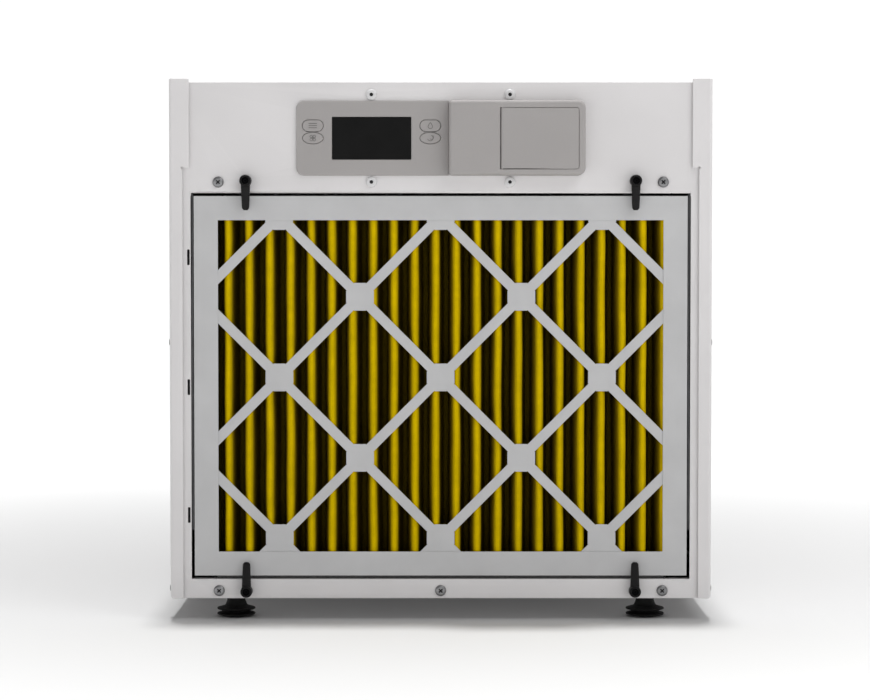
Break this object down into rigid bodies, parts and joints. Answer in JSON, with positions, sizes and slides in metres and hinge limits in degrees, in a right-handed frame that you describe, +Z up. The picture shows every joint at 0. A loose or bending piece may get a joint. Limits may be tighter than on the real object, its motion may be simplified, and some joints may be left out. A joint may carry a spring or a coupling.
{
  "type": "ducted dehumidifier",
  "caption": "Free-standing ducted dehumidifier in a sheet steel cabinet, with a pleated intake filter held by turn levers, a front control panel and a round rear outlet.",
  "frame": {"origin": "centre of the floor contact under the machine, at the bottom of the feet", "axes": "+Z up, -Y towards the front with the filter and control panel, +Y along the air flow to the rear outlet, +X to the right seen from the front"},
  "size_m": [0.493, 0.765, 0.488],
  "materials": {
    "cabinet_paint": "fine-textured white powder coat",
    "galvanised": "galvanised sheet",
    "seal_foam": "closed-cell foam",
    "insulation": "foam lining",
    "screw_steel": "zinc plated",
    "screw_white": "white painted",
    "screw_dark": "dark plated",
    "foot_rubber": "moulded black rubber",
    "filter_card": "coated grey-white board",
    "filter_media": "pleated yellow synthetic fibre",
    "lever_black": "moulded black",
    "panel_grey": "fine-textured warm grey",
    "button_grey": "grey silicone",
    "display": "black display window",
    "circuit_board": "green board",
    "black_shell": "black enamel",
    "fin_aluminium": "thin fins",
    "copper": "drawn copper",
    "pan_plastic": "moulded dark grey",
    "pale_plastic": "moulded off-white"
  },
  "bodies": {
    "cabinet": {"base_pan": "cabinet_paint", "left_side_panel": "cabinet_paint", "right_side_panel": "cabinet_paint", "top_panel": "cabinet_paint", "front_panel": "cabinet_paint", "rear_panel": "cabinet_paint", "duct_collar": "galvanised", "filter_guides": "galvanised", "fan_bulkhead": "galvanised", "motor_bracket": "galvanised", "electrical_box": "galvanised", "filter_seal": "seal_foam", "cabinet_insulation": "insulation", "front_panel_screws": "screw_steel", "rear_panel_screws": "screw_steel", "foot_studs": "screw_steel", "door_hinge_pin": "screw_steel", "compressor_studs": "screw_steel", "control_panel_screws": "screw_white", "side_panel_screws": "screw_dark", "lever_pivots": "screw_dark", "compressor_grommets": "foot_rubber", "filter_frame": "filter_card", "filter_grid": "filter_card", "filter_media": "filter_media", "control_panel": "panel_grey", "terminal_housing": "panel_grey", "display_lens": "display", "control_board": "circuit_board", "terminal_block": "circuit_board", "compressor": "black_shell", "accumulator": "black_shell", "fan_motor": "black_shell", "evaporator_fins": "fin_aluminium", "condenser_fins": "fin_aluminium", "run_capacitor": "fin_aluminium", "evaporator_tubes": "copper", "condenser_tubes": "copper", "refrigerant_lines": "copper", "filter_drier": "copper", "drain_pan": "pan_plastic", "cord_gland": "pan_plastic", "drain_tube": "pale_plastic", "drain_fitting": "pale_plastic", "float_switch": "pale_plastic"},
    "front_left_foot": {"front_left_foot": "foot_rubber"},
    "front_right_foot": {"front_right_foot": "foot_rubber"},
    "rear_left_foot": {"rear_left_foot": "foot_rubber"},
    "rear_right_foot": {"rear_right_foot": "foot_rubber"},
    "top_left_lever": {"top_left_lever": "lever_black"},
    "top_right_lever": {"top_right_lever": "lever_black"},
    "bottom_left_lever": {"bottom_left_lever": "lever_black"},
    "bottom_right_lever": {"bottom_right_lever": "lever_black"},
    "power_button": {"power_button": "button_grey"},
    "mode_button": {"mode_button": "button_grey"},
    "up_button": {"up_button": "button_grey"},
    "down_button": {"down_button": "button_grey"},
    "access_door": {"access_door": "panel_grey"},
    "fan_impeller": {"fan_impeller": "pan_plastic"},
    "drain_float": {"drain_float": "pale_plastic"}
  },
  "joints": [
    {"name": "top_left_lever_turn", "type": "hinge", "parent": "cabinet", "child": "top_left_lever", "pos_m": [-0.175, -0.3725, 0.3965], "axis": [0, -1, 0], "range_deg": [0, 90]},
    {"name": "bottom_left_lever_turn", "type": "hinge", "parent": "cabinet", "child": "bottom_left_lever", "pos_m": [-0.175, -0.3725, 0.027], "axis": [0, 1, 0], "range_deg": [0, 90]},
    {"name": "top_right_lever_turn", "type": "hinge", "parent": "cabinet", "child": "top_right_lever", "pos_m": [0.175, -0.3725, 0.3965], "axis": [0, 1, 0], "range_deg": [0, 90]},
    {"name": "bottom_right_lever_turn", "type": "hinge", "parent": "cabinet", "child": "bottom_right_lever", "pos_m": [0.175, -0.3725, 0.027], "axis": [0, -1, 0], "range_deg": [0, 90]},
    {"name": "power_button_press", "type": "slide", "parent": "cabinet", "child": "power_button", "axis": [0, 1, 0], "range_m": [0, 0.001], "stiffness_N_per_m": 1500, "springref_m": -0.0005},
    {"name": "mode_button_press", "type": "slide", "parent": "cabinet", "child": "mode_button", "axis": [0, 1, 0], "range_m": [0, 0.001], "stiffness_N_per_m": 1500, "springref_m": -0.0005},
    {"name": "up_button_press", "type": "slide", "parent": "cabinet", "child": "up_button", "axis": [0, 1, 0], "range_m": [0, 0.001], "stiffness_N_per_m": 1500, "springref_m": -0.0005},
    {"name": "down_button_press", "type": "slide", "parent": "cabinet", "child": "down_button", "axis": [0, 1, 0], "range_m": [0, 0.001], "stiffness_N_per_m": 1500, "springref_m": -0.0005},
    {"name": "access_door_swing", "type": "hinge", "parent": "cabinet", "child": "access_door", "pos_m": [0.0556, -0.3804, 0.43405], "axis": [0, 0, -1], "range_deg": [0, 100]},
    {"name": "fan_spin", "type": "hinge", "parent": "cabinet", "child": "fan_impeller", "pos_m": [0, 0.1725, 0.254], "axis": [0, 1, 0], "continuous": true},
    {"name": "drain_float_rise", "type": "slide", "parent": "cabinet", "child": "drain_float", "axis": [0, 0, 1], "range_m": [0, 0.012]},
    {"name": "front_left_foot_level", "type": "slide", "parent": "cabinet", "child": "front_left_foot", "axis": [0, 0, -1], "range_m": [0, 0.01]},
    {"name": "front_right_foot_level", "type": "slide", "parent": "cabinet", "child": "front_right_foot", "axis": [0, 0, -1], "range_m": [0, 0.01]},
    {"name": "rear_left_foot_level", "type": "slide", "parent": "cabinet", "child": "rear_left_foot", "axis": [0, 0, -1], "range_m": [0, 0.01]},
    {"name": "rear_right_foot_level", "type": "slide", "parent": "cabinet", "child": "rear_right_foot", "axis": [0, 0, -1], "range_m": [0, 0.01]}
  ]
}
